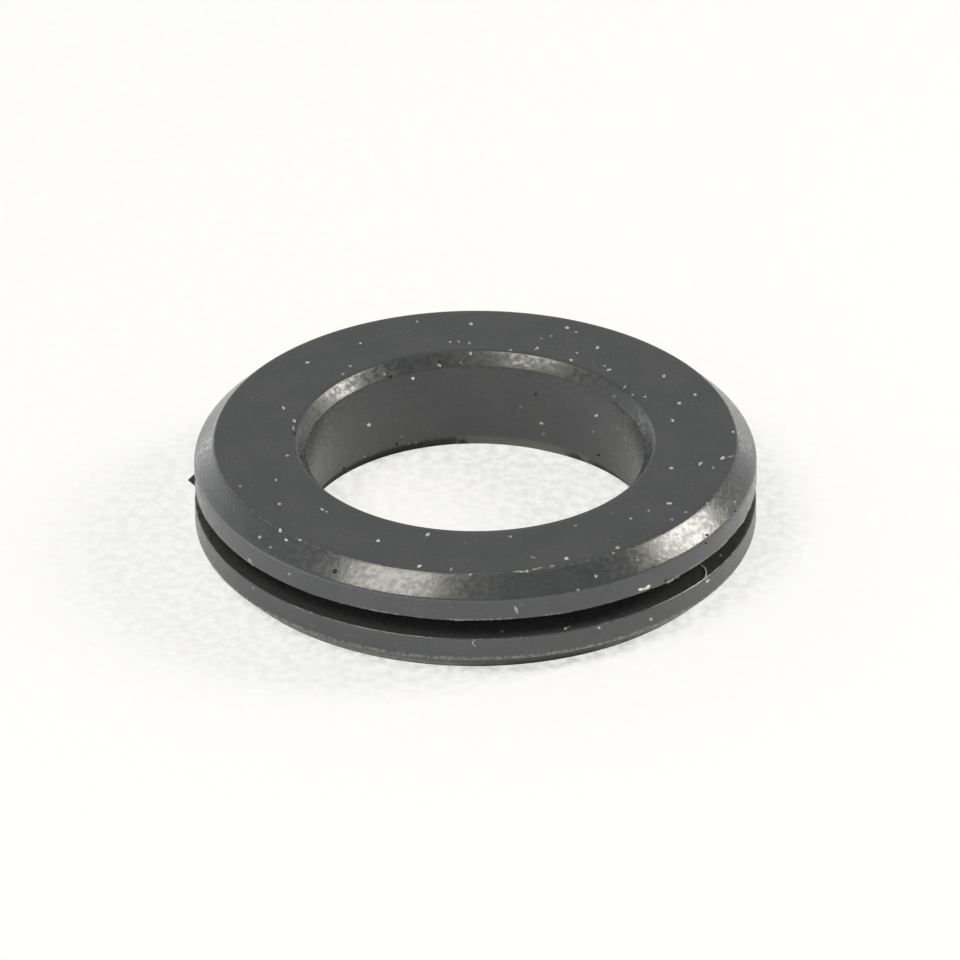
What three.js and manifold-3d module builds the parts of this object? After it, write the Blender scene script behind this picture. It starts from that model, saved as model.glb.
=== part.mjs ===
// Fuel filter head gasket: one moulded rubber ring that lies flat on its lower face.
// Its section is revolved about Z: bevelled rims, a square groove right round the outside,
// and a straight bore with a chamfer at each end. A tag of moulding flash stands out on the left.
// Millimetres, +Z up. The axis is Z and the lower face lies on Z = 0.

import * as THREE from 'three';
import { mergeVertices } from 'three/addons/utils/BufferGeometryUtils.js';
import Module from 'manifold-3d';

// Driving dimensions
const OUTER_DIAMETER = 30.0;
const BORE_DIAMETER = 18.0;
const RIM_WALL_HEIGHT = 1.25; // straight wall above the groove, and the same below it
const RIM_BEVEL = 1.05; // 45 degrees, outer edge of both faces
const BORE_CHAMFER = 0.6; // 45 degrees, both ends of the bore
const GROOVE_WIDTH = 1.1;
const GROOVE_DEPTH = 2.5;
const GROOVE_ROOT_RADIUS = 0.3;
const LIP_RADIUS = 0.08; // the two edges at the mouth of the groove
const RIM_EDGE_RADIUS = 0.3; // the blunt edge between each bevel and its wall
const EDGE_RADIUS = 0.15; // every other moulded edge

// Tag of flash left on the lower edge of the upper rim wall
const TAG_ANGLE = 181; // degrees from +X, anticlockwise seen from above
const TAG_LENGTH = 0.33; // how far it stands out of the wall
const TAG_BASE_WIDTH = 0.5; // along the rim
const TAG_BASE_HEIGHT = 1.0;
const TAG_ROOT = 0.15; // how deep its base is sunk in the wall
const TAG_DROP = 0.05; // how far its axis hangs below the upper lip of the groove

// Fineness of the mesh
const TURN_SEGMENTS = 120;
const EDGE_STEPS = 2;
const RIM_EDGE_STEPS = 3;
const ROOT_STEPS = 4;
const TAG_SEGMENTS = 12;

// Worked out from the driving dimensions
const OUTER_RADIUS = OUTER_DIAMETER / 2;
const BORE_RADIUS = BORE_DIAMETER / 2;
const GROOVE_FLOOR_RADIUS = OUTER_RADIUS - GROOVE_DEPTH;
const GROOVE_BOTTOM = RIM_BEVEL + RIM_WALL_HEIGHT;
const GROOVE_TOP = GROOVE_BOTTOM + GROOVE_WIDTH;
const THICKNESS = GROOVE_TOP + RIM_WALL_HEIGHT + RIM_BEVEL;

const rubber = new THREE.MeshStandardMaterial({
  name: 'rubber',
  color: 0x3b3c3c,
  roughness: 0.72,
  metalness: 0,
});

// Corners of the half section as [distance from the axis, height, edge radius, steps of its arc],
// anticlockwise from the inner edge of the lower face.
function sectionCorners() {
  const faceInner = BORE_RADIUS + BORE_CHAMFER;
  const faceOuter = OUTER_RADIUS - RIM_BEVEL;
  return [
    [faceInner, 0, EDGE_RADIUS, EDGE_STEPS],
    [faceOuter, 0, EDGE_RADIUS, EDGE_STEPS],
    [OUTER_RADIUS, RIM_BEVEL, RIM_EDGE_RADIUS, RIM_EDGE_STEPS],
    [OUTER_RADIUS, GROOVE_BOTTOM, LIP_RADIUS, EDGE_STEPS],
    [GROOVE_FLOOR_RADIUS, GROOVE_BOTTOM, GROOVE_ROOT_RADIUS, ROOT_STEPS],
    [GROOVE_FLOOR_RADIUS, GROOVE_TOP, GROOVE_ROOT_RADIUS, ROOT_STEPS],
    [OUTER_RADIUS, GROOVE_TOP, LIP_RADIUS, EDGE_STEPS],
    [OUTER_RADIUS, THICKNESS - RIM_BEVEL, RIM_EDGE_RADIUS, RIM_EDGE_STEPS],
    [faceOuter, THICKNESS, EDGE_RADIUS, EDGE_STEPS],
    [faceInner, THICKNESS, EDGE_RADIUS, EDGE_STEPS],
    [BORE_RADIUS, THICKNESS - BORE_CHAMFER, EDGE_RADIUS, EDGE_STEPS],
    [BORE_RADIUS, BORE_CHAMFER, EDGE_RADIUS, EDGE_STEPS],
  ];
}

// Points of the arc that rounds one corner between its two neighbours.
function roundedCorner(before, corner, after) {
  const [, , radius, steps] = corner;
  const tip = new THREE.Vector2(corner[0], corner[1]);
  const toBefore = new THREE.Vector2(before[0], before[1]).sub(tip).normalize();
  const toAfter = new THREE.Vector2(after[0], after[1]).sub(tip).normalize();
  const halfAngle = Math.acos(toBefore.dot(toAfter)) / 2;
  const bisector = toBefore.clone().add(toAfter).normalize();
  const centre = tip.clone().addScaledVector(bisector, radius / Math.sin(halfAngle));
  const setback = radius / Math.tan(halfAngle);
  const start = tip.clone().addScaledVector(toBefore, setback).sub(centre);
  const turn = Math.PI - 2 * halfAngle;
  const side = Math.sign(toAfter.cross(toBefore));
  const points = [];
  for (let step = 0; step <= steps; step += 1) {
    const angle = (side * turn * step) / steps;
    points.push(start.clone().rotateAround(new THREE.Vector2(), angle).add(centre));
  }
  return points;
}

// The closed outline of the section, with every edge rounded.
function sectionOutline() {
  const corners = sectionCorners();
  const outline = corners.flatMap((corner, i) => {
    const before = corners[(i + corners.length - 1) % corners.length];
    const after = corners[(i + 1) % corners.length];
    return roundedCorner(before, corner, after);
  });
  outline.push(outline[0].clone());
  return outline;
}

// The section turned about the axis, with the lathe's Y laid along Z.
function ringGeometry() {
  return new THREE.LatheGeometry(sectionOutline(), TURN_SEGMENTS).rotateX(Math.PI / 2);
}

// A small flattened cone whose point looks straight out from the rim wall.
function flashTagGeometry() {
  const height = TAG_ROOT + TAG_LENGTH;
  const tag = new THREE.ConeGeometry(0.5, height, TAG_SEGMENTS);
  tag.rotateZ(-Math.PI / 2);
  tag.scale(1, TAG_BASE_WIDTH, TAG_BASE_HEIGHT);
  tag.translate(OUTER_RADIUS - TAG_ROOT + height / 2, 0, GROOVE_TOP - TAG_DROP);
  return tag.rotateZ(THREE.MathUtils.degToRad(TAG_ANGLE));
}

const wasm = await Module();
wasm.setup();

function toSolid(geometry) {
  geometry.deleteAttribute('normal');
  geometry.deleteAttribute('uv');
  const welded = mergeVertices(geometry, 1e-5);
  return new wasm.Manifold(new wasm.Mesh({
    numProp: 3,
    vertProperties: new Float32Array(welded.attributes.position.array),
    triVerts: new Uint32Array(welded.index.array),
  }));
}

function toGeometry(solid) {
  const mesh = solid.getMesh();
  const geometry = new THREE.BufferGeometry();
  geometry.setAttribute('position', new THREE.BufferAttribute(mesh.vertProperties, 3));
  geometry.setIndex(new THREE.BufferAttribute(mesh.triVerts, 1));
  geometry.computeVertexNormals();
  return geometry;
}

function gasketRing() {
  const solid = toSolid(ringGeometry()).add(toSolid(flashTagGeometry()));
  const mesh = new THREE.Mesh(toGeometry(solid), rubber);
  mesh.name = 'gasket_ring';
  return mesh;
}

const gasket = new THREE.Group();
gasket.add(gasketRing());

export default gasket;
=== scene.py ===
"""Looks of the fuel filter head gasket: one black rubber ring lying on a white floor.

The visible ring is turned from a fine section, with its moulding flash, wavy edges and fine grain.
Dust and lint lie on it where the photograph shows them.
Lengths are in metres in the frame of the CAD model: +Z up, the bore's axis on Z, the lower face on
Z = 0 and the camera on the -Y side. Photo coordinates are pixels of the 960 x 960 photograph.
"""

import math

import bmesh
import bpy
import numpy as np
from mathutils import Matrix, Vector, noise
from mathutils.bvhtree import BVHTree


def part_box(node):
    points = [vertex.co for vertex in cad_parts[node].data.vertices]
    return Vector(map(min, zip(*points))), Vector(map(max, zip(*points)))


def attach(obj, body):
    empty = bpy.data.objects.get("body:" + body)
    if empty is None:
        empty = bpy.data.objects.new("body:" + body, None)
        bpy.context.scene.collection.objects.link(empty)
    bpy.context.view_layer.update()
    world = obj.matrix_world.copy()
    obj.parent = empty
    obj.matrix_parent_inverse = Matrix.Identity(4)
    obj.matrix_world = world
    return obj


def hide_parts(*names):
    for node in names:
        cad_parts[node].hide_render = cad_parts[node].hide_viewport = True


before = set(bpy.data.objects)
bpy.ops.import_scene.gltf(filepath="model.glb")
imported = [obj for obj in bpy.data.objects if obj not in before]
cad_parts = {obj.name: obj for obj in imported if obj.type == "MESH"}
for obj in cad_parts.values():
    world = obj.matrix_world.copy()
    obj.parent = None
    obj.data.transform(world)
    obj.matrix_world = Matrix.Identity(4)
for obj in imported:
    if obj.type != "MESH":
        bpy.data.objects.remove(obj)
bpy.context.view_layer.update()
ring_low, ring_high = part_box("gasket_ring")

MM = 0.001

# The ring's section, from the frame and the same sizes as the CAD model
OUTER_RADIUS = (ring_high[1] - ring_low[1]) / 2
THICKNESS = ring_high[2]
BORE_RADIUS = 9.0 * MM
RIM_BEVEL = 1.05 * MM
BORE_CHAMFER = 0.6 * MM
UPPER_CHAMFER = (0.55 * MM, 0.68 * MM)  # width and depth: a little steeper than 45 degrees
GROOVE_WIDTH = 1.1 * MM
GROOVE_DEPTH = 2.5 * MM
GROOVE_ROOT_RADIUS = 0.3 * MM
LIP_RADIUS = 0.1 * MM
RIM_EDGE_RADIUS = 0.3 * MM
EDGE_RADIUS = 0.15 * MM
CHAMFER_EDGE_RADIUS = 0.12 * MM
GROOVE_BOTTOM = (THICKNESS - GROOVE_WIDTH) / 2
GROOVE_TOP = (THICKNESS + GROOVE_WIDTH) / 2
FLASH_ROOM = 0.03 * MM  # the rim walls lie this far inside the box, and flash fills the gap
DUST_ROOM = 0.034 * MM  # the upper face lies this far below the box's top, and dust lies on it
WALL_RADIUS = OUTER_RADIUS - FLASH_ROOM
FACE_HEIGHT = THICKNESS - DUST_ROOM
FACE_OUTER = WALL_RADIUS - RIM_BEVEL

# Fineness of the visible skin
TURN_SEGMENTS = 640
ARC_STEPS = 5
LONGEST_STEP = 0.27 * MM

# The camera of the photograph
PHOTO_SIZE = 960
CAMERA_ELEVATION = math.radians(30.36)
CAMERA_ROLL = math.radians(-0.12)
CAMERA_DISTANCE = 0.6
PX_PER_M = 18760  # at the ring's centre
RING_CENTRE_PX = (475.5, 485.0)
SENSOR_MM = 36

# Lights, as directions from the ring: the right one stands a little behind, the left one in front
LIGHT_DISTANCE = 0.5
RIGHT_LIGHT = {"towards": (0.81, 0.18, 0.55), "across": 0.18, "power": 1.4}
LEFT_LIGHT = {"towards": (-0.4, -0.4, 0.83), "across": 0.22, "power": 1.15}
LIGHT_COLOUR = (1.0, 0.965, 0.88)

# The studio's walls glow near the horizon and darken upwards
HORIZON_LEVEL = 1.1
OVERHEAD_LEVEL = 0.3
TABLE_LEVEL = 2.1  # more, below the horizon, from the bright table round the paper
TABLE_FADE = (-0.01, 0.03)  # sines of the elevations where that ends
LEFT_GLOW = 1.3  # the glow's share on the far left
RIGHT_GLOW = 0.7
GLOW_TOP = 0.62  # sine of the elevation where the overhead level is reached

# The floor as the camera sees it: this share is plain white, and the rest is lit and shaded
FLOOR_WHITE_SHARE = (0.52, 0.78)  # in the darker and in the paler blotches of the paper
FLOOR_WHITE = (0.96, 0.965, 0.97)
FLOOR_BLOTCH = 0.6 * MM
FLOOR_MIRRORED_IN_BORE = 0.7  # what mirrors show of the plain white inside the bore
FLOOR_HALF_SIZE = 0.09


def camera_axes():
    """The camera's right, up and back directions."""
    back = Vector((0, -math.cos(CAMERA_ELEVATION), math.sin(CAMERA_ELEVATION)))
    up = Vector((0, math.sin(CAMERA_ELEVATION), math.cos(CAMERA_ELEVATION)))
    turn = Matrix.Rotation(CAMERA_ROLL, 3, back)
    return turn @ Vector((1, 0, 0)), turn @ up, back


def camera_place():
    """The camera's position, set aside so that the ring's centre falls on RING_CENTRE_PX."""
    right, up, back = camera_axes()
    middle = PHOTO_SIZE / 2
    aside = right * (middle - RING_CENTRE_PX[0]) + up * (RING_CENTRE_PX[1] - middle)
    return Vector((0, 0, THICKNESS / 2)) + back * CAMERA_DISTANCE + aside / PX_PER_M


def make_camera():
    right, up, back = camera_axes()
    data = bpy.data.cameras.new("photo_camera")
    data.sensor_width = SENSOR_MM
    data.lens = SENSOR_MM * PX_PER_M * CAMERA_DISTANCE / PHOTO_SIZE
    data.clip_start = 0.01
    camera = bpy.data.objects.new("photo_camera", data)
    turn = Matrix((right, up, back)).transposed().to_4x4()
    camera.matrix_world = Matrix.Translation(camera_place()) @ turn
    bpy.context.collection.objects.link(camera)
    bpy.context.scene.camera = camera


def photo_ray(x, y):
    """Direction from the camera through a pixel of the photograph."""
    right, up, back = camera_axes()
    middle = PHOTO_SIZE / 2
    across = (x - middle) / PX_PER_M / CAMERA_DISTANCE
    rise = (middle - y) / PX_PER_M / CAMERA_DISTANCE
    return (right * across + up * rise - back).normalized()


def section_corners():
    """Corners of the half section as (distance from the axis, height, edge radius), anticlockwise."""
    face_inner = BORE_RADIUS + BORE_CHAMFER
    groove_floor = OUTER_RADIUS - GROOVE_DEPTH
    return [
        (face_inner, 0, EDGE_RADIUS),
        (FACE_OUTER, 0, EDGE_RADIUS),
        (WALL_RADIUS, RIM_BEVEL, RIM_EDGE_RADIUS),
        (WALL_RADIUS, GROOVE_BOTTOM, LIP_RADIUS),
        (groove_floor, GROOVE_BOTTOM, GROOVE_ROOT_RADIUS),
        (groove_floor, GROOVE_TOP, GROOVE_ROOT_RADIUS),
        (WALL_RADIUS, GROOVE_TOP, LIP_RADIUS),
        (WALL_RADIUS, FACE_HEIGHT - RIM_BEVEL, RIM_EDGE_RADIUS),
        (FACE_OUTER, FACE_HEIGHT, EDGE_RADIUS),
        (BORE_RADIUS + UPPER_CHAMFER[0], FACE_HEIGHT, CHAMFER_EDGE_RADIUS),
        (BORE_RADIUS, FACE_HEIGHT - UPPER_CHAMFER[1], CHAMFER_EDGE_RADIUS),
        (BORE_RADIUS, BORE_CHAMFER, EDGE_RADIUS),
    ]


def rounded_corner(before, corner, after):
    """Points of the arc that rounds one corner."""
    tip = Vector(corner[:2])
    to_before = (Vector(before[:2]) - tip).normalized()
    to_after = (Vector(after[:2]) - tip).normalized()
    half = to_before.angle(to_after) / 2
    centre = tip + (to_before + to_after).normalized() * (corner[2] / math.sin(half))
    start = tip + to_before * (corner[2] / math.tan(half)) - centre
    side = math.copysign(1, to_after.x * to_before.y - to_after.y * to_before.x)
    turn = side * (math.pi - 2 * half)
    return [centre + Matrix.Rotation(turn * k / ARC_STEPS, 2) @ start for k in range(ARC_STEPS + 1)]


def section_outline():
    """The closed outline of the section as an array of (distance from the axis, height)."""
    corners = section_corners()
    arcs = [
        rounded_corner(corners[i - 1], corner, corners[(i + 1) % len(corners)])
        for i, corner in enumerate(corners)
    ]
    outline = []
    for i, arc in enumerate(arcs):
        outline.extend(arc)
        start, end = arc[-1], arcs[(i + 1) % len(arcs)][0]
        steps = math.ceil((end - start).length / LONGEST_STEP)
        outline.extend(start.lerp(end, k / steps) for k in range(1, steps))
    return np.array([tuple(point) for point in outline])


# Flash on the lips of the groove: how far it hangs, how much of the skin moves with it, and its seed
UPPER_LIP_FLASH = {"hang": 0.07 * MM, "reach": 0.22 * MM, "seed": 3}
LOWER_LIP_FLASH = {"hang": 0.035 * MM, "reach": 0.18 * MM, "seed": 11}
FLASH_PATCH = 4 * MM  # wavelength of the stretches that have flash
FLASH_RAG = 0.6 * MM  # wavelength of its torn edge
RAG_SEED = 7  # added to the seed for the torn edge

# The wavy upper edge of the bore
EDGE_WAVE = 0.02 * MM
EDGE_WAVELENGTH = 2.5 * MM
EDGE_WAVE_REACH = 0.5 * MM
EDGE_WAVE_SEED = 23

# On the right the bore's upper edge is wavier, by up to this factor
RIGHT_WAVE = 5.0
RIGHT_WAVE_TOWARDS = math.radians(28)
RIGHT_WAVE_REACH = math.radians(26)

# At the back left the bore's lower chamfer is smaller, by up to this much
CHAMFER_LOSS = 0.33 * MM
CHAMFER_LOSS_TOWARDS = math.radians(140)


def smooth_noise(angle, wavelength, seed):
    """Noise from about -1 to 1 on the rim, with no seam where the angle comes round."""
    around = OUTER_RADIUS / wavelength
    return noise.noise(Vector((math.cos(angle) * around, math.sin(angle) * around, seed)))


def lip_flash(angle, seed):
    """How far the flash on a groove lip hangs out at an angle, from 0 to 1."""
    patch = smooth_noise(angle, FLASH_PATCH, seed) + 0.25
    rag = smooth_noise(angle, FLASH_RAG, seed + RAG_SEED) + 0.55
    return max(0.0, min(1.0, patch * 1.6)) * max(0.0, min(1.0, rag))


def near(distance, reach):
    """1 at no distance, falling smoothly to 0 at reach."""
    t = np.clip(1 - np.abs(distance) / reach, 0, 1)
    return t * t * (3 - 2 * t)


def chamfer_loss(angle):
    """How much narrower the bore's foot is at an angle, most at the back left."""
    return CHAMFER_LOSS * min(1.0, max(0.0, 0.75 + 1.1 * math.cos(angle - CHAMFER_LOSS_TOWARDS)))


def ring_points():
    """Skin points as an array [angle, outline point, xyz]."""
    outline = section_outline()
    radius, height = outline[:, 0], outline[:, 1]
    upper_lip = near(np.hypot(radius - WALL_RADIUS, height - GROOVE_TOP), UPPER_LIP_FLASH["reach"])
    lower_lip = near(np.hypot(radius - WALL_RADIUS, height - GROOVE_BOTTOM), LOWER_LIP_FLASH["reach"])
    bore_edge_height = FACE_HEIGHT - UPPER_CHAMFER[1]
    bore_edge = near(np.hypot(radius - BORE_RADIUS, height - bore_edge_height), EDGE_WAVE_REACH)
    foot = np.clip((radius - BORE_RADIUS) / BORE_CHAMFER, 0, 1)
    foot = foot * np.clip(1 - height / BORE_CHAMFER, 0, 1) * (radius < BORE_RADIUS + 2 * BORE_CHAMFER)
    rows = []
    for turn in range(TURN_SEGMENTS):
        angle = 2 * math.pi * turn / TURN_SEGMENTS
        upper = upper_lip * lip_flash(angle, UPPER_LIP_FLASH["seed"])
        lower = lower_lip * lip_flash(angle, LOWER_LIP_FLASH["seed"])
        wavier = 1 + (RIGHT_WAVE - 1) * near(angle - RIGHT_WAVE_TOWARDS, RIGHT_WAVE_REACH)
        wave = EDGE_WAVE * wavier * smooth_noise(angle, EDGE_WAVELENGTH, EDGE_WAVE_SEED)
        r = radius + FLASH_ROOM * (upper + lower) + wave * bore_edge - chamfer_loss(angle) * foot
        z = height - UPPER_LIP_FLASH["hang"] * upper + LOWER_LIP_FLASH["hang"] * lower
        rows.append(np.stack([r * math.cos(angle), r * math.sin(angle), z], axis=1))
    return np.array(rows)


def ring_mesh():
    points = ring_points()
    turns, around = points.shape[:2]
    turn, step = np.meshgrid(np.arange(turns), np.arange(around), indexing="ij")
    next_turn, next_step = (turn + 1) % turns, (step + 1) % around
    corners = [(turn, step), (next_turn, step), (next_turn, next_step), (turn, next_step)]
    faces = np.stack([a * around + b for a, b in corners], axis=2).reshape(-1, 4)
    mesh = bpy.data.meshes.new("gasket_ring_skin")
    mesh.from_pydata(points.reshape(-1, 3).tolist(), [], faces.tolist())
    mesh.shade_smooth()
    return mesh


def new_object(name, mesh, material):
    obj = bpy.data.objects.new(name, mesh)
    obj.data.materials.append(material)
    bpy.context.collection.objects.link(obj)
    return obj


# Materials

def node(tree, kind, **settings):
    made = tree.nodes.new(kind)
    for key, value in settings.items():
        setattr(made, key, value)
    return made


def set_input(target, name, value):
    target.inputs[name].default_value = value


def noise_texture(tree, place, grain, detail=2.0, roughness=0.5, squash=1.0):
    """Noise with features about grain metres across, and squash times shorter than that up Z."""
    texture = node(tree, "ShaderNodeTexNoise")
    scaled = node(tree, "ShaderNodeVectorMath", operation="MULTIPLY")
    tree.links.new(place.outputs["Object"], scaled.inputs[0])
    scaled.inputs[1].default_value = (1, 1, squash)
    tree.links.new(scaled.outputs[0], texture.inputs["Vector"])
    set_input(texture, "Scale", 1 / grain)
    set_input(texture, "Detail", detail)
    set_input(texture, "Roughness", roughness)
    return texture.outputs["Fac"]


def remap(tree, value, low, high, to_low, to_high):
    """The value mapped smoothly from the range low to high onto to_low to to_high."""
    ranged = node(tree, "ShaderNodeMapRange", interpolation_type="SMOOTHSTEP")
    tree.links.new(value, ranged.inputs["Value"])
    names = ("From Min", "From Max", "To Min", "To Max")
    for name, number in zip(names, (low, high, to_low, to_high)):
        set_input(ranged, name, number)
    return ranged.outputs["Result"]


def maths(tree, operation, a, b=0.0):
    """The result of a maths node on two sockets or numbers."""
    made = node(tree, "ShaderNodeMath", operation=operation)
    for slot, value in ((0, a), (1, b)):
        if isinstance(value, (int, float)):
            made.inputs[slot].default_value = value
        else:
            tree.links.new(value, made.inputs[slot])
    return made.outputs[0]


def blend_colours(tree, share, first, second):
    mix = node(tree, "ShaderNodeMix", data_type="RGBA")
    tree.links.new(share, mix.inputs["Factor"])
    for slot, colour in ((6, first), (7, second)):
        if isinstance(colour, tuple):
            mix.inputs[slot].default_value = (*colour, 1)
        else:
            tree.links.new(colour, mix.inputs[slot])
    return mix.outputs[2]


def bump(tree, height, distance, under=None):
    """The normal of a relief of that depth, laid over the one under it."""
    made = node(tree, "ShaderNodeBump")
    set_input(made, "Strength", 1.0)
    set_input(made, "Distance", distance)
    tree.links.new(height, made.inputs["Height"])
    if under is not None:
        tree.links.new(under, made.inputs["Normal"])
    return made.outputs["Normal"]


def new_material(name):
    material = bpy.data.materials.new(name)
    material.use_nodes = True
    tree = material.node_tree
    return material, tree, tree.nodes["Principled BSDF"]


# Colours of the rubber, of what has settled on it, and of light painted in the groove and on the edges
RUBBER_DARK = (0.037, 0.041, 0.042)
RUBBER_LIGHT = (0.044, 0.048, 0.0485)
# Painted light: slightly paler than the rubber, for the stray light that lifts the groove's dark
GROOVE_PAINTED_LIGHT = (0.05, 0.05, 0.051)
BLOOM = (0.16, 0.155, 0.145)
# Painted highlight: the pale colour along the lips and rim edges stands in for light caught on them
EDGE_PAINTED_HIGHLIGHT = (0.2, 0.2, 0.195)

# Painted light low on the outer bevel and in the bore's foot, dark for shade and pale for the floor's
# reflection: (middle in x, where the second colour starts and is full, first colour, second colour)
# Outer bevel: dark where the floor beside it lies in deep shadow, and a pale painted reflection of the
# lit floor elsewhere
RIM_FOOT_PAINTED_LIGHT = (4 * MM, 1.5 * MM, 6 * MM, (0.045, 0.045, 0.045), (0.22, 0.22, 0.215))
# Bore's foot: a pale painted reflection of the floor near the middle, and near-black painted shadow
# further out to either side
BORE_FOOT_PAINTED_LIGHT = (2.4 * MM, 2.6 * MM, 4 * MM, (0.17, 0.17, 0.168), (0.008, 0.008, 0.008))
FOOT_RAG = 0.8 * MM  # how far the places of those colours waver, and over what length

# Gloss and relief of the rubber
GLOSS = 0.85
ROUGHNESS = 0.26
MOTTLE = 0.07  # how far the roughness drifts either way
GROOVE_ROUGHER = 0.04  # added in the groove
FOOT_ROUGHER = 0.4  # added low on the lower bevels
CHAMFER_ROUGHER = 0.08  # added on the bore's upper chamfer
CHAMFER_MOTTLE = 2.0  # how much stronger the mottle is there
FACE_GRAIN = 0.2  # the share of the grain's relief that the upper face has
STREAK = 1.6  # how much shorter the grain is up the walls than along them
CLOUD_GRAIN = 3 * MM
BLOOM_GRAIN = 0.16 * MM
MOTTLE_GRAIN = 0.35 * MM
BROAD_GRAIN, BROAD_RELIEF = 0.9 * MM, 0.007 * MM
FINE_GRAIN, FINE_RELIEF = 0.24 * MM, 0.0065 * MM

# Edges with a painted highlight, as (radius, height), and how far the highlight reaches
UPPER_LIP_EDGE = (WALL_RADIUS, GROOVE_TOP + 0.04 * MM), 0.13 * MM
LOWER_LIP_EDGE = (WALL_RADIUS, GROOVE_BOTTOM), 0.06 * MM
FACE_EDGE = (FACE_OUTER, FACE_HEIGHT), 0.09 * MM
FOOT_EDGE = (WALL_RADIUS, RIM_BEVEL + 0.03 * MM), 0.17 * MM
FACE_EDGE_HIGHLIGHT = 0.35
FOOT_EDGE_HIGHLIGHT = 0.9
HIGHLIGHT_PATCH = 1.6 * MM
HIGHLIGHT_RAG = 0.22 * MM


def section_place(tree, place):
    """Distance from the axis and height, as sockets."""
    axes = node(tree, "ShaderNodeSeparateXYZ")
    tree.links.new(place.outputs["Object"], axes.inputs[0])
    across = maths(tree, "POWER", axes.outputs["X"], 2.0)
    along = maths(tree, "POWER", axes.outputs["Y"], 2.0)
    return maths(tree, "SQRT", maths(tree, "ADD", across, along)), axes.outputs["Z"]


def in_groove(tree, radius, height):
    """1 on the groove's floor and sides, and 0 on the rest of the ring."""
    inside = remap(tree, radius, OUTER_RADIUS - 0.12 * MM, OUTER_RADIUS - 0.05 * MM, 1, 0)
    beyond = OUTER_RADIUS - GROOVE_DEPTH - 1 * MM
    inside = maths(tree, "MULTIPLY", inside, maths(tree, "GREATER_THAN", radius, beyond))
    off_middle = maths(tree, "ABSOLUTE", maths(tree, "SUBTRACT", height, THICKNESS / 2))
    reach = GROOVE_WIDTH / 2
    between = remap(tree, off_middle, reach + 0.02 * MM, reach + 0.08 * MM, 1, 0)
    return maths(tree, "MULTIPLY", inside, between)


def on_upper_chamfer(tree, radius, height):
    """1 on the chamfer at the bore's upper end, and 0 on the rest of the ring."""
    width, depth = UPPER_CHAMFER
    inside = remap(tree, radius, BORE_RADIUS + width, BORE_RADIUS + width + 0.05 * MM, 1, 0)
    above = remap(tree, height, FACE_HEIGHT - depth - 0.05 * MM, FACE_HEIGHT - depth, 0, 1)
    return maths(tree, "MULTIPLY", inside, above)


def at_foot(tree, height):
    """1 low on the lower bevels, which hardly any light reaches, and 0 above them."""
    return remap(tree, height, 0.35 * MM, 0.8 * MM, 1, 0)


def foot_painted_light(tree, place, radius):
    """Painted light low on the lower bevels: dark painted shade in places, and a pale painted
    reflection of the floor in others.
    """
    axes = node(tree, "ShaderNodeSeparateXYZ")
    tree.links.new(place.outputs["Object"], axes.inputs[0])
    waver = remap(tree, noise_texture(tree, place, FOOT_RAG), 0.35, 0.65, -FOOT_RAG, FOOT_RAG)
    along = maths(tree, "ADD", axes.outputs["X"], waver)
    colours = []
    for middle, start, full, first, second in (BORE_FOOT_PAINTED_LIGHT, RIM_FOOT_PAINTED_LIGHT):
        off = maths(tree, "ABSOLUTE", maths(tree, "SUBTRACT", along, middle))
        colours.append(blend_colours(tree, remap(tree, off, start, full, 0, 1), first, second))
    on_rim = maths(tree, "GREATER_THAN", radius, (OUTER_RADIUS + BORE_RADIUS) / 2)
    return blend_colours(tree, on_rim, *colours)


def near_edge(tree, radius, height, edge, reach):
    """1 at an edge of the section, falling to 0 at reach."""
    out = maths(tree, "POWER", maths(tree, "SUBTRACT", radius, edge[0]), 2.0)
    up = maths(tree, "POWER", maths(tree, "SUBTRACT", height, edge[1]), 2.0)
    distance = maths(tree, "SQRT", maths(tree, "ADD", out, up))
    return remap(tree, distance, 0.3 * reach, reach, 1, 0)


def painted_edge_highlights(tree, place, radius, height):
    """Where edges get a painted highlight: the groove's lips in patches, and the upper and lower rim
    faintly.
    """
    upper_lip, lower_lip, face_rim, foot = (
        near_edge(tree, radius, height, *edge)
        for edge in (UPPER_LIP_EDGE, LOWER_LIP_EDGE, FACE_EDGE, FOOT_EDGE)
    )
    patches = remap(tree, noise_texture(tree, place, HIGHLIGHT_PATCH, detail=1), 0.46, 0.58, 0, 1)
    ragged = remap(tree, noise_texture(tree, place, HIGHLIGHT_RAG, detail=2), 0.42, 0.6, 0.1, 1)
    lips = maths(tree, "MULTIPLY", patches, maths(tree, "MAXIMUM", upper_lip, lower_lip))
    face_rim = maths(tree, "MULTIPLY", face_rim, FACE_EDGE_HIGHLIGHT)
    foot = maths(tree, "MULTIPLY", foot, FOOT_EDGE_HIGHLIGHT)
    highlit = maths(tree, "MAXIMUM", lips, maths(tree, "MAXIMUM", face_rim, foot))
    return maths(tree, "MULTIPLY", highlit, ragged)


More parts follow.
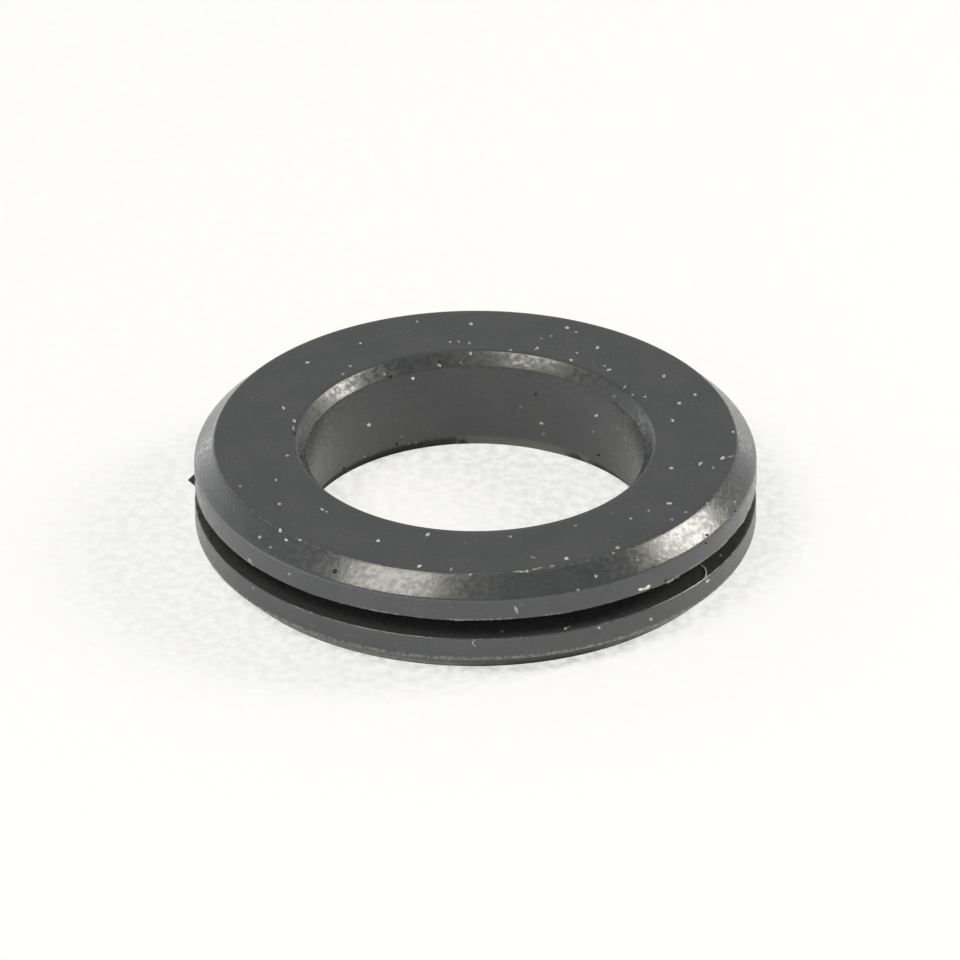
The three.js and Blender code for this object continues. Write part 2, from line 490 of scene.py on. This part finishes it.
def rubber_material():
    material, tree, shader = new_material("moulded_rubber")
    place = node(tree, "ShaderNodeTexCoord")
    radius, height = section_place(tree, place)
    clouds = remap(tree, noise_texture(tree, place, CLOUD_GRAIN), 0.35, 0.65, 0, 1)
    body = blend_colours(tree, clouds, RUBBER_DARK, RUBBER_LIGHT)
    specks = remap(tree, noise_texture(tree, place, BLOOM_GRAIN, detail=1), 0.7, 0.78, 0, 0.6)
    bloomed = blend_colours(tree, specks, body, BLOOM)
    groove = in_groove(tree, radius, height)
    foot = at_foot(tree, height)
    # Painted light: a slightly paler groove, and painted shade and a pale painted floor reflection low
    # on the lower bevels
    with_painted_light = blend_colours(tree, groove, bloomed, GROOVE_PAINTED_LIGHT)
    with_painted_light = blend_colours(tree, foot, with_painted_light, foot_painted_light(tree, place, radius))
    # Painted highlights on the edges, in ragged patches on the lips
    highlit = blend_colours(tree, painted_edge_highlights(tree, place, radius, height), with_painted_light, EDGE_PAINTED_HIGHLIGHT)
    tree.links.new(highlit, shader.inputs["Base Color"])
    set_input(shader, "Specular IOR Level", GLOSS)
    grain = remap(tree, height, FACE_HEIGHT - 0.12 * MM, FACE_HEIGHT - 0.02 * MM, 1, FACE_GRAIN)
    mottle = noise_texture(tree, place, MOTTLE_GRAIN, squash=STREAK)
    mottle = remap(tree, mottle, 0.32, 0.68, -MOTTLE, MOTTLE)
    chamfer = on_upper_chamfer(tree, radius, height)
    mottle = maths(tree, "MULTIPLY", mottle, remap(tree, chamfer, 0, 1, 1, CHAMFER_MOTTLE))
    rough = maths(tree, "ADD", maths(tree, "MULTIPLY", mottle, grain), ROUGHNESS)
    rougher_places = ((groove, GROOVE_ROUGHER), (foot, FOOT_ROUGHER), (chamfer, CHAMFER_ROUGHER))
    for share, rougher in rougher_places:
        rough = maths(tree, "ADD", rough, maths(tree, "MULTIPLY", share, rougher))
    tree.links.new(rough, shader.inputs["Roughness"])
    broad = maths(tree, "MULTIPLY", noise_texture(tree, place, BROAD_GRAIN, detail=1), grain)
    fine = maths(tree, "MULTIPLY", noise_texture(tree, place, FINE_GRAIN, squash=STREAK), grain)
    relief = bump(tree, fine, FINE_RELIEF, under=bump(tree, broad, BROAD_RELIEF))
    tree.links.new(relief, shader.inputs["Normal"])
    return material


def plain_material(name, colour, other_colour, grain, roughness=0.85, gloss=0.3):
    """A material that drifts between two colours."""
    material, tree, shader = new_material(name)
    place = node(tree, "ShaderNodeTexCoord")
    drift = remap(tree, noise_texture(tree, place, grain), 0.35, 0.65, 0, 1)
    tree.links.new(blend_colours(tree, drift, colour, other_colour), shader.inputs["Base Color"])
    set_input(shader, "Roughness", roughness)
    set_input(shader, "Specular IOR Level", gloss)
    return material


def floor_material():
    """White paper whose shadow is softened, seen and mirrored, by a share of plain white.

    Mirrors show the plain white outside the ring and inside its bore, and not beside its foot.
    """
    material, tree, shader = new_material("white_floor")
    place = node(tree, "ShaderNodeTexCoord")
    set_input(shader, "Base Color", (*FLOOR_WHITE, 1))
    set_input(shader, "Roughness", 0.9)
    set_input(shader, "Specular IOR Level", 0.1)
    blotches = noise_texture(tree, place, FLOOR_BLOTCH, detail=4, roughness=0.6)
    share = remap(tree, blotches, 0.36, 0.64, *FLOOR_WHITE_SHARE)
    radius, _ = section_place(tree, place)
    outside = remap(tree, radius, OUTER_RADIUS - 0.5 * MM, OUTER_RADIUS + 3 * MM, 0, 1)
    bore_edge = BORE_RADIUS - 1.2 * MM, BORE_RADIUS + 0.2 * MM
    inside = remap(tree, radius, *bore_edge, FLOOR_MIRRORED_IN_BORE, 0)
    path = node(tree, "ShaderNodeLightPath")
    glossy, transmitted = path.outputs["Is Glossy Ray"], path.outputs["Is Transmission Ray"]
    mirrored = maths(tree, "MAXIMUM", glossy, transmitted)
    mirrored = maths(tree, "MULTIPLY", mirrored, maths(tree, "MAXIMUM", outside, inside))
    shown = maths(tree, "MAXIMUM", path.outputs["Is Camera Ray"], mirrored)
    white = node(tree, "ShaderNodeEmission")
    seen = node(tree, "ShaderNodeMixShader")
    tree.links.new(maths(tree, "MULTIPLY", shown, share), seen.inputs[0])
    tree.links.new(shader.outputs[0], seen.inputs[1])
    tree.links.new(white.outputs[0], seen.inputs[2])
    tree.links.new(seen.outputs[0], tree.nodes["Material Output"].inputs["Surface"])
    return material


def make_floor():
    mesh = bpy.data.meshes.new("floor")
    half = FLOOR_HALF_SIZE
    corners = [(-half, -half, 0), (half, -half, 0), (half, half, 0), (-half, half, 0)]
    mesh.from_pydata(corners, [], [(0, 1, 2, 3)])
    new_object("floor", mesh, floor_material())


def make_light(name, settings):
    data = bpy.data.lights.new(name, "AREA")
    data.shape = "SQUARE"
    data.size = settings["across"]
    data.energy = settings["power"]
    data.color = LIGHT_COLOUR
    light = bpy.data.objects.new(name, data)
    towards = Vector(settings["towards"]).normalized()
    light.location = towards * LIGHT_DISTANCE
    light.rotation_mode = "QUATERNION"
    light.rotation_quaternion = towards.to_track_quat("Z", "Y")
    bpy.context.collection.objects.link(light)


def make_world():
    world = bpy.data.worlds.new("studio")
    world.use_nodes = True
    tree = world.node_tree
    background = tree.nodes["Background"]
    set_input(background, "Color", (1, 1, 1, 1))
    direction = node(tree, "ShaderNodeTexCoord")
    axes = node(tree, "ShaderNodeSeparateXYZ")
    tree.links.new(direction.outputs["Generated"], axes.inputs[0])
    glow = remap(tree, axes.outputs["Z"], 0, GLOW_TOP, HORIZON_LEVEL, OVERHEAD_LEVEL)
    side = remap(tree, axes.outputs["X"], -1, 1, LEFT_GLOW, RIGHT_GLOW)
    table = remap(tree, axes.outputs["Z"], *TABLE_FADE, TABLE_LEVEL, 0)
    glow = maths(tree, "MULTIPLY", maths(tree, "ADD", glow, table), side)
    path = node(tree, "ShaderNodeLightPath")
    strength = node(tree, "ShaderNodeMix", data_type="FLOAT")
    tree.links.new(path.outputs["Is Camera Ray"], strength.inputs["Factor"])
    tree.links.new(glow, strength.inputs[2])
    strength.inputs[3].default_value = 1.0
    tree.links.new(strength.outputs[0], background.inputs["Strength"])
    bpy.context.scene.world = world


# Dust, lint, flash and painted shade, placed by pixels of the photograph: (x, y, half length,
# half width, turn), with the turn in degrees anticlockwise from the photograph's right
BRIGHT_SPECKS = [
    (567, 327.7, 2.2, 1.9, 0), (597.5, 347.5, 2.3, 1.8, 30), (608.8, 369.8, 2.5, 1.9, 20),
    (571, 360, 2, 1.8, 0), (679.5, 403, 2.3, 1.9, 0), (672.5, 420.5, 2.2, 1.8, 60),
    (733, 432, 1.8, 1.6, 0), (671.3, 468, 2.2, 1.8, 10), (617.5, 547.7, 2.2, 2, 0),
    (596, 576, 2.2, 1.8, 120), (566.5, 558.3, 2.3, 1.9, 0), (428, 534.6, 2.9, 1.9, 50),
    (377.8, 540.7, 2.3, 2, 30), (419.5, 566, 2.8, 1.8, 20), (279.5, 504, 1.9, 1.7, 0),
    (307.4, 362.6, 2.3, 1.7, 0), (294.5, 421, 2.2, 1.7, 140), (283.3, 407.9, 2.2, 1.6, 135),
    (259.7, 537.3, 1.9, 1.6, 30), (280.3, 530.5, 2.2, 1.5, 110), (286.3, 540, 2.2, 1.5, 150),
    (565.3, 628.5, 2.1, 1.7, 40), (599, 627.8, 1.7, 1.5, 0), (650.7, 619.5, 1.9, 1.6, 0),
    (722.5, 458, 2.9, 1.7, 40), (700.4, 463.6, 2.7, 1.7, 45), (664, 376, 2.7, 1.6, 45),
    (536.7, 348.5, 2.9, 1.3, 40), (669.3, 503.4, 3.1, 1.6, 0), (695, 394.7, 2.2, 1.8, 30),
    (322, 509.3, 2.3, 1.5, 150), (326.8, 511.8, 1.7, 1.2, 160), (439, 365.5, 2.3, 1.5, 150),
    (470.6, 353.5, 1.7, 2, 0), (470.9, 323.8, 1.9, 2, 0), (360.3, 343.3, 1.5, 1.6, 0),
    (527, 571.2, 1.8, 1.5, 0),
]
BORE_SPECKS = [
    (369, 425, 2.3, 1.9, 0), (596.4, 415.6, 2.1, 1.8, 0), (541.4, 423.3, 2.1, 1.8, 0),
    (412.8, 378.6, 2.2, 2, 10),
]
DIM_SPECKS = [
    (576, 332, 1.8, 1.5, 0), (713, 467.5, 2.2, 1.6, 60), (541.5, 338.8, 1.7, 1.4, 0),
    (551, 336, 1.6, 1.4, 0), (604.5, 366, 1.7, 1.4, 0), (614.3, 396.3, 1.8, 1.5, 0),
    (469.5, 343, 2.2, 1.3, 140), (458.5, 341.5, 2.1, 1.3, 140), (450, 342, 1.4, 2, 0),
    (460.5, 362.5, 1.5, 1.3, 0), (510.8, 350, 1.8, 1.4, 0), (577, 353, 1.6, 1.4, 0),
    (416.8, 321.5, 1.8, 1.5, 0), (350.3, 366.2, 1.8, 2, 30), (343, 374, 2.2, 1.3, 40),
    (384.5, 373.8, 2, 1.6, 130), (671.6, 519.5, 1.8, 1.5, 0), (649, 510.5, 1.7, 1.4, 0),
    (630.5, 518.5, 1.7, 1.4, 0), (613, 553, 1.7, 1.4, 20), (637.5, 560, 1.7, 1.4, 0),
    (578, 590, 1.9, 1.4, 0), (510.4, 536.5, 2, 1.4, 10), (276, 480, 1.9, 1.3, 60),
    (240, 486, 1.8, 1.4, 0), (270.5, 547.5, 1.8, 1.4, 0), (520.5, 407, 1.7, 1.4, 0),
    (543.6, 434, 1.7, 1.4, 0), (593.5, 432, 1.6, 1.4, 0), (632.5, 394.8, 1.8, 1.4, 30),
    (645, 396.8, 1.8, 1.4, 0), (624.5, 387, 3.4, 0.9, 50), (708, 503.5, 1.8, 1.4, 0),
    (726.5, 509.5, 1.8, 1.4, 0), (735, 502, 1.7, 1.4, 0), (724, 526, 1.8, 1.4, 0),
    (686, 512, 1.7, 1.4, 0), (404.6, 655.7, 1.6, 1.3, 0), (449, 659.5, 1.6, 1.3, 0),
    (350, 645, 1.6, 1.3, 0), (253, 588, 1.6, 1.3, 0), (287.5, 455.5, 2, 1.4, 20),
    (293.3, 428, 1.4, 3.6, 0), (289, 574, 1.7, 1.5, 0), (300, 540, 2.2, 1.4, 150),
    (309.5, 461.5, 2.4, 2, 20), (401.5, 437, 1.8, 1.4, 0), (408.5, 443.5, 1.8, 1.4, 0),
    (416, 442.5, 1.8, 1.4, 0), (364, 457, 1.6, 1.3, 0), (373, 454, 1.6, 1.3, 0),
    (470.3, 574.7, 2, 1.3, 20), (519.5, 571.6, 7, 1.0, 0), (538, 568.4, 7, 0.8, 12),
    (552, 566, 3, 0.9, 10), (533, 557.5, 3.4, 1.0, 170), (575.5, 525.5, 1.9, 1.2, 40),
    (613.5, 553, 1.8, 1.3, 20), (451, 569.5, 1.2, 2.6, 0),
]
# Painted shade: dark specks where pits, notches and shaded spots look dark
DARK_MARKS = [
    (335, 571.3, 3, 2.4, 60), (535.6, 394, 1.7, 1.4, 0), (735, 511, 1.5, 1.2, 0),
    (707, 535, 2, 1.6, 0), (706, 543, 1.8, 1.5, 0), (598.5, 455, 2, 1.5, 0),
    (294.5, 433.5, 2, 1.5, 0), (666, 581, 2, 1.6, 0), (390.3, 376.5, 2.3, 1.7, 20),
    (397, 444, 1.8, 1.4, 0), (344, 468, 1.8, 1.4, 0), (440, 361.5, 1.8, 1.2, 0),
]
GROOVE_SPECKS = [
    (502, 631, 1.6, 1.3, 0), (720.5, 555.3, 1.6, 1.3, 0),
]
FLAKES = [
    (641, 589.5, 3.4, 1.6, 5), (647.5, 587.2, 4.2, 1.7, 28), (707.5, 581, 2.6, 1.3, 45),
]
PALE_SCUFFS = [
    (250.5, 561.5, 5.2, 1.5, 125), (516.2, 609.8, 5, 2.1, 108), (671, 580.5, 4.8, 1.7, 25),
    (677, 577.5, 3.4, 1.5, 30), (667, 583, 2.4, 1.4, 30),
]
PALE_PATCHES = [
    (618, 428, 3.4, 2.4, 110), (624, 437, 4, 2.2, 120), (630, 446, 2.6, 1.8, 100),
    (634, 461, 3, 2.4, 60), (637, 470, 3.6, 2.2, 100), (632, 476, 2.4, 2, 30),
    (318, 452, 2.2, 4.2, 20), (322, 446, 2, 2.6, 0),
]

# Lint as (thickness in mm, points of the photograph); a point marked True hangs clear of the ring
FIBRES = [
    (0.11, [(700, 565, False), (704.5, 568.5, True), (706, 573, True), (704.5, 580, False)]),
    (0.05, [(727, 457.5, False), (732, 456.2, False), (737, 455.5, False)]),
    (0.06, [(475, 640, False), (472.5, 643, False), (475.5, 646.5, False)]),
    (0.04, [(566.5, 628, False), (568.5, 627, False), (570.5, 626.4, False)]),
]
SPECK_HEIGHT = 0.025 * MM
SPECK_ROOT = 0.01 * MM  # how deep the rim of a speck is sunk in the rubber
SPECK_STRETCH = 1.5  # a speck reaches at most this much further than it looks in the photograph
SPECK_POINTS = 12
SPECK_RINGS = (1.0, 0.75, 0.4)
SPECK_UNEVEN = 0.45
SEED_STEP = 3.7
FIBRE_SIDES = 6
FIBRE_STEPS = 6


def tree_of(mesh):
    return BVHTree.FromPolygons([v.co for v in mesh.vertices], [p.vertices for p in mesh.polygons])


def on_ring(tree, x, y):
    """Where a pixel of the photograph meets the ring, and the surface's normal there."""
    place, normal, _, _ = tree.ray_cast(camera_place(), photo_ray(x, y))
    if place is None:
        raise ValueError(f"pixel {x}, {y} misses the ring")
    return place, normal


def on_plane(x, y, place, normal):
    """Where a pixel of the photograph meets the plane through a place."""
    start, ray = camera_place(), photo_ray(x, y)
    return start + ray * ((place - start).dot(normal) / ray.dot(normal))


def add_speck(points, faces, tree, speck, seed):
    """A low, irregular grain or flake, outlined in the photograph and laid on the ring."""
    x, y, half_length, half_width, turn = speck
    place, normal = on_ring(tree, x, y)
    turn = math.radians(turn)
    first = len(points)
    for ring, size in enumerate(SPECK_RINGS):
        lift = -SPECK_ROOT if ring == 0 else SPECK_HEIGHT * (1 - size * size)
        for k in range(SPECK_POINTS):
            angle = 2 * math.pi * k / SPECK_POINTS
            place_in_noise = Vector((math.cos(angle), math.sin(angle), seed * SEED_STEP))
            uneven = 1 + SPECK_UNEVEN * noise.noise(place_in_noise)
            along = half_length * size * uneven * math.cos(angle)
            across = half_width * size * uneven * math.sin(angle)
            right = along * math.cos(turn) - across * math.sin(turn)
            rise = along * math.sin(turn) + across * math.cos(turn)
            reach = on_plane(x + right, y - rise, place, normal) - place
            longest = SPECK_STRETCH * math.hypot(right, rise) / PX_PER_M
            reach *= min(1, longest / reach.length)
            points.append(place + reach + normal * lift)
    points.append(place + normal * SPECK_HEIGHT)
    for ring in range(len(SPECK_RINGS) - 1):
        for k in range(SPECK_POINTS):
            a, b = first + ring * SPECK_POINTS, first + (ring + 1) * SPECK_POINTS
            after = (k + 1) % SPECK_POINTS
            faces.append((a + k, a + after, b + after, b + k))
    last = first + (len(SPECK_RINGS) - 1) * SPECK_POINTS
    for k in range(SPECK_POINTS):
        faces.append((last + k, last + (k + 1) % SPECK_POINTS, len(points) - 1))
    faces.append(tuple(first + k for k in reversed(range(SPECK_POINTS))))


def mesh_of(name, points, faces):
    mesh = bpy.data.meshes.new(name)
    mesh.from_pydata([tuple(p) for p in points], [], faces)
    shape = bmesh.new()
    shape.from_mesh(mesh)
    bmesh.ops.recalc_face_normals(shape, faces=shape.faces)
    shape.to_mesh(mesh)
    shape.free()
    mesh.shade_smooth()
    return mesh


def make_specks(name, specks, material, tree):
    points, faces = [], []
    for seed, speck in enumerate(specks):
        add_speck(points, faces, tree, speck, seed)
    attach(new_object(name, mesh_of(name, points, faces), material), "root")


def fibre_route(tree, marks):
    """Places of a fibre's points, where a hanging one takes its depth from its neighbours."""
    start = camera_place()
    held = [on_ring(tree, x, y) if not hangs else None for x, y, hangs in marks]
    depths = [None if spot is None else (spot[0] - start).length for spot in held]
    known = [i for i, depth in enumerate(depths) if depth is not None]
    route = []
    for i, (x, y, _) in enumerate(marks):
        if held[i] is not None:
            route.append(held[i][0])
        else:
            depth = float(np.interp(i, known, [depths[k] for k in known]))
            route.append(start + photo_ray(x, y) * depth)
    return route


def smooth_route(route):
    """Points on the Catmull-Rom curve through the route."""
    ends = [route[0] * 2 - route[1], *route, route[-1] * 2 - route[-2]]
    smooth = []
    for a, b, c, d in zip(ends, ends[1:], ends[2:], ends[3:]):
        for k in range(FIBRE_STEPS):
            t = k / FIBRE_STEPS
            smooth.append(0.5 * (2 * b + (c - a) * t + (2 * a - 5 * b + 4 * c - d) * t * t
                                 + (3 * b - a - 3 * c + d) * t ** 3))
    return smooth + [route[-1]]


def add_fibre(points, faces, route, thickness):
    """A thin tube along a route, closed at both ends."""
    first = len(points)
    for i, place in enumerate(route):
        ahead = route[min(i + 1, len(route) - 1)] - route[max(i - 1, 0)]
        side = ahead.cross(Vector((0.3, 0.2, 1))).normalized()
        up = side.cross(ahead).normalized()
        size = thickness / 2 * (0.6 if i in (0, len(route) - 1) else 1)
        for k in range(FIBRE_SIDES):
            angle = 2 * math.pi * k / FIBRE_SIDES
            points.append(place + (side * math.cos(angle) + up * math.sin(angle)) * size)
    for i in range(len(route) - 1):
        for k in range(FIBRE_SIDES):
            a, b, after = first + i * FIBRE_SIDES, first + (i + 1) * FIBRE_SIDES, (k + 1) % FIBRE_SIDES
            faces.append((a + k, a + after, b + after, b + k))
    last = first + (len(route) - 1) * FIBRE_SIDES
    faces.append(tuple(first + k for k in reversed(range(FIBRE_SIDES))))
    faces.append(tuple(last + k for k in range(FIBRE_SIDES)))


def make_fibres(name, fibres, material, tree):
    points, faces = [], []
    for thickness, marks in fibres:
        route = smooth_route(fibre_route(tree, marks))
        add_fibre(points, faces, route, thickness * MM)
    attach(new_object(name, mesh_of(name, points, faces), material), "root")


# The tag of flash on the upper lip, with the CAD model's sizes
TAG_ANGLE = math.radians(181)
TAG_LENGTH = 0.33 * MM
TAG_BASE_WIDTH = 0.5 * MM
TAG_BASE_HEIGHT = 1.0 * MM
TAG_ROOT = 0.15 * MM
TAG_DROP = 0.05 * MM
TAG_TORN = 0.25
TAG_STEPS = 6
TAG_POINTS = 16


def make_flash_tag(material):
    """A torn, flattened cone that looks out from the rim wall."""
    points, faces = [], []
    out = Vector((math.cos(TAG_ANGLE), math.sin(TAG_ANGLE), 0))
    along = Vector((-out.y, out.x, 0))
    start = out * (OUTER_RADIUS - TAG_ROOT) + Vector((0, 0, GROOVE_TOP - TAG_DROP))
    for step in range(TAG_STEPS):
        share = step / TAG_STEPS
        for k in range(TAG_POINTS):
            angle = 2 * math.pi * k / TAG_POINTS
            place_in_noise = Vector((2 * math.cos(angle), 2 * math.sin(angle), 4 * share))
            torn = 1 - TAG_TORN * abs(noise.noise(place_in_noise))
            size = (1 - share) * torn / 2
            points.append(
                start
                + out * (share * (TAG_ROOT + TAG_LENGTH))
                + along * (size * TAG_BASE_WIDTH * math.cos(angle))
                + Vector((0, 0, size * TAG_BASE_HEIGHT * math.sin(angle)))
            )
    points.append(start + out * (TAG_ROOT + TAG_LENGTH))
    for step in range(TAG_STEPS - 1):
        for k in range(TAG_POINTS):
            a, b, after = step * TAG_POINTS, (step + 1) * TAG_POINTS, (k + 1) % TAG_POINTS
            faces.append((a + k, a + after, b + after, b + k))
    last = (TAG_STEPS - 1) * TAG_POINTS
    for k in range(TAG_POINTS):
        faces.append((last + k, last + (k + 1) % TAG_POINTS, len(points) - 1))
    faces.append(tuple(reversed(range(TAG_POINTS))))
    tag = new_object("flash_tag", mesh_of("flash_tag", points, faces), material)
    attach(tag, "root")


DUST_GRAIN = 0.2 * MM
FLASH_GRAIN = 0.15 * MM

rubber = rubber_material()
skin = new_object("gasket_ring_skin", ring_mesh(), rubber)
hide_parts("gasket_ring")
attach(skin, "root")
# Painted shade: the tag is near-black because it stands in shade, lit from behind
flash_tag_painted_shade = plain_material(
    "flash_tag_painted_shade", (0.012, 0.012, 0.012), (0.03, 0.03, 0.03), FLASH_GRAIN, roughness=0.6
)
make_flash_tag(flash_tag_painted_shade)

skin_tree = tree_of(skin.data)
bright_dust = plain_material("bright_dust", (0.32, 0.32, 0.31), (0.52, 0.52, 0.5), DUST_GRAIN)
dim_dust = plain_material("dim_dust", (0.18, 0.18, 0.175), (0.34, 0.34, 0.33), DUST_GRAIN)
# Near-black specks of painted shade for pits, notches and shaded spots
painted_shade_specks = plain_material("painted_shade_specks", (0.015, 0.015, 0.015), (0.03, 0.03, 0.028), DUST_GRAIN)
white_flash = plain_material("white_flash", (0.6, 0.6, 0.58), (0.85, 0.84, 0.8), FLASH_GRAIN)
pale_film = plain_material(
    "pale_film", (0.08, 0.08, 0.08), (0.17, 0.17, 0.167), FLASH_GRAIN, roughness=0.35, gloss=GLOSS
)
make_specks("bright_dust_specks", BRIGHT_SPECKS, bright_dust, skin_tree)
make_specks("dim_dust_specks", DIM_SPECKS + PALE_SCUFFS, dim_dust, skin_tree)
make_specks("dark_marks", DARK_MARKS, painted_shade_specks, skin_tree)
make_specks("groove_specks", GROOVE_SPECKS, dim_dust, skin_tree)
make_specks("bore_specks", BORE_SPECKS, white_flash, skin_tree)
make_specks("bore_film", PALE_PATCHES, pale_film, skin_tree)
make_specks("rim_flakes", FLAKES, white_flash, skin_tree)
make_fibres("lint_fibres", FIBRES, bright_dust, skin_tree)

make_floor()
make_light("right_light", RIGHT_LIGHT)
make_light("left_light", LEFT_LIGHT)
make_world()
make_camera()
bpy.context.scene.view_settings.view_transform = "Standard"
